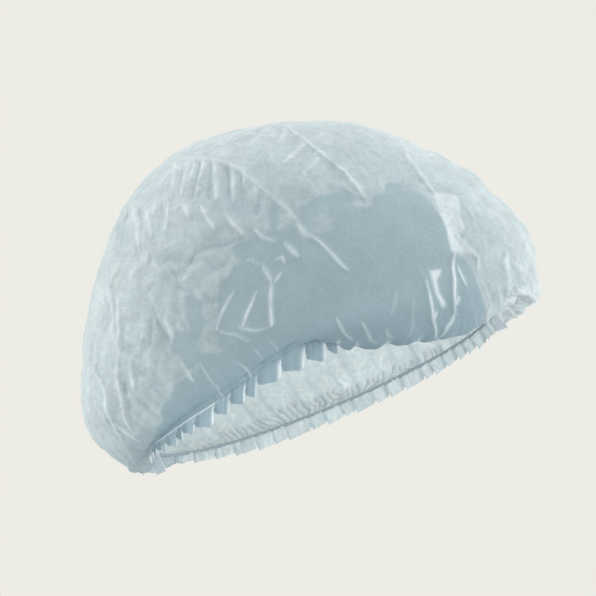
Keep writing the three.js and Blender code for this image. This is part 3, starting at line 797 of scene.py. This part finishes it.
def frill_cloth(angle, down, lobes):
    """Points of a frill and its values: down goes from 0 at the elastic to 1 at the free edge."""
    degrees = degrees_of(angle)
    profile, number, share = pleats(angle)

    # Shape: lobes that flare out, with slits between them
    outward = outside_elastic(angle) + table_at(HEM_SPREAD, degrees) + FRILL_FLARE * down
    outward = outward + profile * table_at(FRILL_DEPTHS, down)
    outward = outward + fine_gathers(number, share) * FINE_GATHER_DEPTH * (1.0 - FRILL_FINE_FADE * down)
    slit = lobes["lift"] * (1.0 - smooth_share(share, LOBE_SLIT_FLAT * lobes["slit"], lobes["slit"]))
    rounding = lobes["round"] * smooth_share(share, *LOBE_ROUND_BAND)
    uneven = 1.0 + FRILL_UNEVEN * drawn(number, "length") + lobes["step"] * (share - 0.5) - rounding
    drop = FRILL_DROP * table_at(FRILL_LENGTHS, degrees) * uneven * (1.0 - slit * down) * down
    turned = angle - lobes["lean"] * drop / RIM["side"]
    x = (RIM["side"] + outward) * np.sin(turned)
    y = -(RIM["front"] + outward) * np.cos(turned)
    z = rim_lift(angle) - table_at(HEM_DROP, degrees) - drop
    points = np.stack([x, y, z], -1)
    for axis, seed in enumerate(FRILL_WANDER["seeds"]):
        points[..., axis] += noise(points, FRILL_WANDER["size"], seed) * FRILL_WANDER["reach"] * down

    # Tones: painted shade in the folds, and on the wearer's right painted highlights along the slits and the
    # strand
    bottom = np.zeros_like(angle)
    taut_and_shaded, halo_shade, pale_light = patch_shares(angle, bottom, smooth_crown(angle, bottom))
    slit_highlight = bell((1.0 - share) / LOBE_EDGE_HIGHLIGHT["width"]) * smooth_share(down, *LOBE_EDGE_HIGHLIGHT["down"])
    painted_light = np.maximum(np.maximum(slit_highlight, strand_highlight(degrees, drop)), pale_light)
    painted_light = np.where(np.sin(angle) < 0.0, painted_light, 0.0)
    folds = lobes["dark"] * bell(from_pleat_edge(share) / LOBE_FOLD_WIDTH)
    dark = lobes["shade"] + (1.0 - lobes["shade"]) * folds
    mottle = layered(points, FRILL_MOTTLE) * (1.0 - TAUT_CALMS["frill_mottle"] * taut_and_shaded)
    # Painted shade: the taut side, the shade round it, the folds and the hem pull the colour toward the taut
    # colour
    crinkle_and_shade = (1.0 - taut_and_shaded) * (1.0 - TAUT_HALO_SHADE * halo_shade) * (1.0 - dark) + mottle - HEM_SHADE * taut_and_shaded
    ruffled = np.full(angle.shape, LOBE_RUFFLES * lobes["dark"])
    return points, cloth_values(angle, np.clip(crinkle_and_shade, -HEM_SHADE, 1.0), painted_light, ruffled)


def as_worn(points):
    """Tips the level rim so that its front is raised, and turns millimetres into metres."""
    c, s = math.cos(RIM_TILT), math.sin(RIM_TILT)
    x, y, z = np.moveaxis(points, -1, 0)
    return np.stack([x, y * c + z * s, z * c - y * s], -1) * MM


def grid_object(name, points, closed, values):
    """A sheet of quads from a grid of points, rows first."""
    rows, columns = points.shape[:2]
    index = np.arange(rows * columns).reshape(rows, columns)
    right = np.roll(index, -1, axis=1) if closed else index[:, 1:]
    left = index if closed else index[:, :-1]
    quads = np.stack([left[:-1], right[:-1], right[1:], left[1:]], -1).reshape(-1, 4)
    mesh = bpy.data.meshes.new(name)
    mesh.from_pydata(as_worn(points).reshape(-1, 3).tolist(), [], quads.tolist())
    mesh.polygons.foreach_set("use_smooth", np.ones(len(quads), bool))
    for key, value in values.items():
        mesh.attributes.new(key, "FLOAT", "POINT").data.foreach_set("value", value.reshape(-1))
    mesh.update()
    piece = bpy.data.objects.new(name, mesh)
    bpy.context.scene.collection.objects.link(piece)
    return piece


def steps_of(runs):
    """Steps of all the runs, and the end of the last one."""
    steps = [np.linspace(low, high, count, endpoint=False) for low, high, count in runs]
    return np.concatenate(steps), runs[-1][1]


def make_crown():
    levels, top = steps_of(CROWN_LEVEL_RUNS)
    angles, _ = steps_of(CROWN_ANGLE_RUNS)
    level, angle = np.meshgrid(np.append(levels, top), np.radians(angles), indexing="ij")
    points, values = crown_cloth(angle, level)
    return grid_object("crown_cloth", points, True, values)


def make_frill(side, start):
    angles = start + np.linspace(FRILL_END_GAP, math.pi - FRILL_END_GAP, FRILL_STEPS_ROUND)
    downs = np.linspace(1.0, 0.0, FRILL_STEPS_DOWN)
    down, angle = np.meshgrid(downs, angles, indexing="ij")
    points, values = frill_cloth(angle, down, FRILL_LOBES[side])
    return grid_object(f"frill_cloth_{side}", points, False, values)


def fill(tree, made, inputs):
    """Links outputs of other nodes to the inputs of a node, and sets plain values on them."""
    for key, value in inputs.items():
        if isinstance(value, bpy.types.NodeSocket):
            tree.links.new(value, made.inputs[key])
        else:
            made.inputs[key].default_value = value


def node(tree, kind, inputs, **settings):
    made = tree.nodes.new(kind)
    for key, value in settings.items():
        setattr(made, key, value)
    fill(tree, made, inputs)
    return made


def maths(tree, operation, *values):
    """Output of a maths node on outputs of other nodes and on plain numbers."""
    return node(tree, "ShaderNodeMath", dict(enumerate(values)), operation=operation).outputs[0]


def mixed(tree, kind, factor, first, second, **settings):
    """Output of a mix of outputs of other nodes or of plain values."""
    *places, result = MIX_SOCKETS[kind]
    inputs = dict(zip(places, (factor, first, second)))
    return node(tree, "ShaderNodeMix", inputs, data_type=kind, **settings).outputs[result]


def object_place(tree):
    return node(tree, "ShaderNodeTexCoord", {}).outputs["Object"]


def noise_map(tree, place, scale, detail, roughness):
    inputs = {"Vector": place, "Scale": scale, "Detail": detail, "Roughness": roughness}
    return node(tree, "ShaderNodeTexNoise", inputs).outputs


def cell_map(tree, place, feature, scale, randomness):
    inputs = {"Vector": place, "Scale": scale, "Randomness": randomness}
    return node(tree, "ShaderNodeTexVoronoi", inputs, feature=feature).outputs


def bump_map(tree, height, settings):
    return node(tree, "ShaderNodeBump", {**settings, "Height": height}).outputs["Normal"]


def facets_and_crease_light(tree, place):
    """Flat facets of slightly different tone, with light and dark creases along some of their edges, which
    are painted highlight and painted shade.
    """
    warp = noise_map(tree, place, *CLOTH_NOISE["facet_warp"])["Color"]
    inputs = {0: warp, 1: (FACETS["warp"],) * 3, 2: place}
    warped = node(tree, "ShaderNodeVectorMath", inputs, operation="MULTIPLY_ADD").outputs[0]
    cells = cell_map(tree, warped, "F1", FACETS["scale"], FACETS["randomness"])["Color"]
    edges = cell_map(tree, warped, "DISTANCE_TO_EDGE", FACETS["scale"], FACETS["randomness"])["Distance"]
    part = node(tree, "ShaderNodeSeparateColor", {0: cells}).outputs[0]
    flat = maths(tree, "MULTIPLY_ADD", part, FACETS["tone"], 1.0 - 0.5 * FACETS["tone"])
    near_edge = maths(tree, "MULTIPLY_ADD", edges, -1.0 / FACETS["line_width"], 1.0)
    line = maths(tree, "MAXIMUM", near_edge, 0.0)
    sides = noise_map(tree, place, *CLOTH_NOISE["facet_sides"])["Fac"]
    light_or_dark = maths(tree, "MULTIPLY_ADD", sides, 2.0 * FACETS["line"], -FACETS["line"])
    return maths(tree, "MULTIPLY_ADD", line, light_or_dark, flat)


def ruffle_fold_shade(tree, place, ruffled, turns):
    """Painted shade of small folds lying over one another, each going from light to dark."""
    wander = noise_map(tree, place, *CLOTH_NOISE["ruffle_wander"])["Fac"]
    across = maths(tree, "FRACT", maths(tree, "MULTIPLY_ADD", wander, RUFFLE_WANDER, turns))
    depth = maths(tree, "MULTIPLY", maths(tree, "MULTIPLY", across, across), ruffled)
    return maths(tree, "MULTIPLY_ADD", depth, -RUFFLE_SHADE_DEPTH, 1.0)


def new_material(name):
    material = bpy.data.materials.new(name)
    material.use_nodes = True
    tree = material.node_tree
    return material, tree, tree.nodes["Principled BSDF"]


def cloth_material(name, taut_shade_colour, crinkled_colour, painted_light_colour):
    """Thin nonwoven cloth, coloured by the values of each spot."""
    material, tree, shader = new_material(name)
    place = object_place(tree)
    value = {
        key: node(tree, "ShaderNodeAttribute", {}, attribute_name=key).outputs["Fac"]
        for key in ("crinkle_and_shade", "painted_light", "ruffled", "turns")
    }
    # Colour from the taut cloth's painted shade to crinkled, with white painted light on creases
    between = ((*taut_shade_colour, 1.0), (*crinkled_colour, 1.0))
    shade = mixed(tree, "RGBA", value["crinkle_and_shade"], *between, clamp_factor=False)
    with_painted_light = mixed(tree, "RGBA", value["painted_light"], shade, (*painted_light_colour, 1.0))
    # Tones of the fibres and of cloudy places, and of rough facets where the cloth is crinkled, with painted
    # highlight and shade on the facets' creases
    layers = {name: noise_map(tree, place, *CLOTH_NOISE[name])["Fac"] for name in CLOTH_TONES}
    tones = {name: maths(tree, "MULTIPLY_ADD", layers[name], *CLOTH_TONES[name]) for name in CLOTH_TONES}
    grain = maths(tree, "MULTIPLY", tones["cloud"], tones["fibre"])
    crumpled = maths(tree, "MULTIPLY", tones["rough"], facets_and_crease_light(tree, place))
    crumple = mixed(tree, "FLOAT", value["crinkle_and_shade"], 1.0, crumpled)
    # Painted shade of the small folds where the cloth is ruffled
    ruffle = ruffle_fold_shade(tree, place, value["ruffled"], value["turns"])
    tone = maths(tree, "MULTIPLY", maths(tree, "MULTIPLY", grain, crumple), ruffle)
    colour = mixed(tree, "RGBA", 1.0, with_painted_light, tone, blend_type="MULTIPLY")
    # Bumps of the fibres and of the bonded points
    bonds = cell_map(tree, place, "F1", BONDED_POINTS["scale"], BONDED_POINTS["randomness"])["Distance"]
    bumps = bump_map(tree, maths(tree, "ADD", layers["fibre"], bonds), CLOTH_BUMP)
    fill(tree, shader, {**CLOTH_SHADER, "Base Color": colour, "Normal": bumps})
    # Some light comes through the thin cloth
    through = node(tree, "ShaderNodeBsdfTranslucent", {"Color": colour, "Normal": bumps})
    blending = {0: LIGHT_THROUGH_CLOTH, 1: shader.outputs[0], 2: through.outputs[0]}
    blend = node(tree, "ShaderNodeMixShader", blending)
    fill(tree, tree.nodes["Material Output"], {"Surface": blend.outputs[0]})
    return material


def plain_material(name, colour, roughness, scale):
    """One colour with a darker grain in it and small bumps."""
    material, tree, shader = new_material(name)
    place = object_place(tree)
    grain = noise_map(tree, place, scale, PLAIN_GRAIN["detail"], PLAIN_GRAIN["roughness"])["Fac"]
    darker = [PLAIN_GRAIN["dark"] * part for part in colour]
    tone = mixed(tree, "RGBA", grain, (*darker, 1.0), (*colour, 1.0))
    bumps = bump_map(tree, grain, PLAIN_BUMP)
    fill(tree, shader, {"Base Color": tone, "Normal": bumps, "Roughness": roughness})
    return material


def set_material(piece, material):
    piece.data.materials.clear()
    piece.data.materials.append(material)


def add_light(name, place, aim, size, power):
    lamp = bpy.data.lights.new(name, "AREA")
    lamp.size = size
    lamp.energy = power
    light = bpy.data.objects.new(name, lamp)
    bpy.context.scene.collection.objects.link(light)
    light.location = place
    light.rotation_euler = (aim - place).to_track_quat("-Z", "Y").to_euler()
    light.visible_camera = False
    return lamp


# Cloth
cloth = cloth_material("nonwoven_cloth", **CLOTH_COLOURS)
crown = make_crown()
set_material(crown, cloth)
frills = {
    "frill_left": make_frill("left", 0.0),
    "frill_right": make_frill("right", math.pi),
}
for piece in frills.values():
    set_material(piece, cloth)

# Elastic and welds keep their solids
# The elastic's dark colour is painted shade
elastic_shaded_material = plain_material("elastic_thread_shaded", *ELASTIC_SHADED_LOOK)
weld_material = plain_material("welded_cloth", *WELD_LOOK)
for name in ("elastic_left", "elastic_right"):
    set_material(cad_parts[name], elastic_shaded_material)
for name in ("end_weld_front", "end_weld_back"):
    set_material(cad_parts[name], weld_material)

# How each piece stands for its solid
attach(crown, "root")
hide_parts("crown")
for node_name, piece in frills.items():
    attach(piece, "root")
    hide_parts(node_name)

# Floor, out of the camera's view
floor_mesh = bpy.data.meshes.new("floor")
corners = [(x * FLOOR_REACH, y * FLOOR_REACH, FLOOR_HEIGHT) for x, y in ((-1, -1), (1, -1), (1, 1), (-1, 1))]
floor_mesh.from_pydata(corners, [], [(0, 1, 2, 3)])
floor = bpy.data.objects.new("floor", floor_mesh)
bpy.context.scene.collection.objects.link(floor)
set_material(floor, plain_material("floor_paint", *FLOOR_LOOK))

# Camera
toward_camera = Vector((math.sin(VIEW_AZIMUTH) * math.cos(VIEW_ELEVATION),
                        -math.cos(VIEW_AZIMUTH) * math.cos(VIEW_ELEVATION),
                        math.sin(VIEW_ELEVATION)))
camera_right = Vector((math.cos(VIEW_AZIMUTH), math.sin(VIEW_AZIMUTH), 0.0))
camera_up = toward_camera.cross(camera_right)
camera_data = bpy.data.cameras.new("camera")
for key, value in CAMERA.items():
    setattr(camera_data, key, value)
camera = bpy.data.objects.new("camera", camera_data)
bpy.context.scene.collection.objects.link(camera)
aim = (camera_right * VIEW_AIM_RIGHT + camera_up * VIEW_AIM_UP) * MM
turn = Matrix((camera_right, camera_up, toward_camera)).transposed().to_4x4()
camera.matrix_world = Matrix.Translation(aim + toward_camera * VIEW_DISTANCE * MM) @ turn
bpy.context.scene.camera = camera

# Soft lights round the cap, and a small one in it for the inside of its far wall
for name, right, up, near, size, power in LIGHTS:
    place = camera_right * right + camera_up * up + toward_camera * near
    add_light(name, place, Vector((0.0, 0.0, 0.0)), size, power)
inner_lamp = add_light("inner_light", Vector(INNER_LIGHT["place"]), Vector(INNER_LIGHT["aim"]),
                       INNER_LIGHT["size"], INNER_LIGHT["power"])
inner_lamp.spread = math.radians(INNER_LIGHT["spread"])

# Surroundings: a pale backdrop for the camera and soft light all round for the cap
world = bpy.data.worlds.new("studio")
bpy.context.scene.world = world
world.use_nodes = True
sky = world.node_tree
backdrop = sky.nodes["Background"]
backdrop.inputs["Color"].default_value = (*BACKDROP, 1.0)
ambient = node(sky, "ShaderNodeBackground", AMBIENT)
seen = node(sky, "ShaderNodeLightPath", {}).outputs["Is Camera Ray"]
choice = node(sky, "ShaderNodeMixShader", {0: seen, 1: ambient.outputs[0], 2: backdrop.outputs[0]})
fill(sky, sky.nodes["World Output"], {"Surface": choice.outputs[0]})
bpy.context.scene.view_settings.view_transform = "Standard"

bpy.context.view_layer.update()
